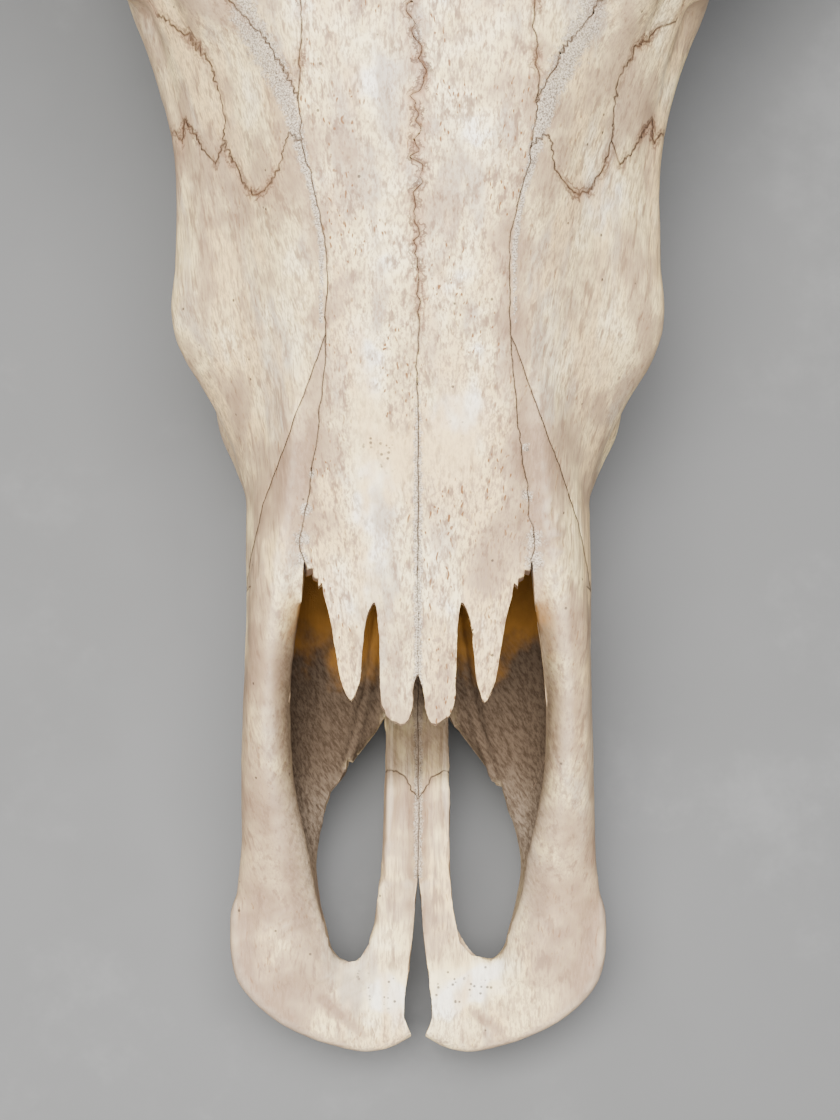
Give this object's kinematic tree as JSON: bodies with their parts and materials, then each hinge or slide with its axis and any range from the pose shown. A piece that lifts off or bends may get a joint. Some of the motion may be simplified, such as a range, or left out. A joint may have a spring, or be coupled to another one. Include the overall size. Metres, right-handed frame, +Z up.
{
  "type": "water buffalo skull",
  "caption": "Upper skull of a water buffalo with long swept-back horns and cheek teeth, without its lower jaw, lying on its teeth.",
  "frame": {"origin": "middle of the skull's bounding box, on the floor it lies on", "axes": "+X to the animal's left, +Y to the back of the skull, +Z up"},
  "size_m": [0.8346, 0.7552, 0.2074],
  "materials": {
    "bone": "dry, matt cream-white bone with warm patches",
    "nasal_bone": "dry, matt bone with fine brown streaks",
    "horn_sheath": "dark grey-black horn with cross ridges, smoother towards the tip"
  },
  "bodies": {
    "root": {"nasal_left": "nasal_bone", "nasal_right": "nasal_bone", "premaxilla_left": "bone", "premaxilla_right": "bone", "maxilla_left": "bone", "maxilla_right": "bone", "lacrimal_left": "bone", "lacrimal_right": "bone", "zygomatic_left": "bone", "zygomatic_right": "bone", "palatine_left": "bone", "palatine_right": "bone", "temporal_left": "bone", "temporal_right": "bone", "frontal_left": "bone", "frontal_right": "bone", "braincase": "bone", "horn_left": "horn_sheath", "horn_right": "horn_sheath"}
  },
  "joints": []
}
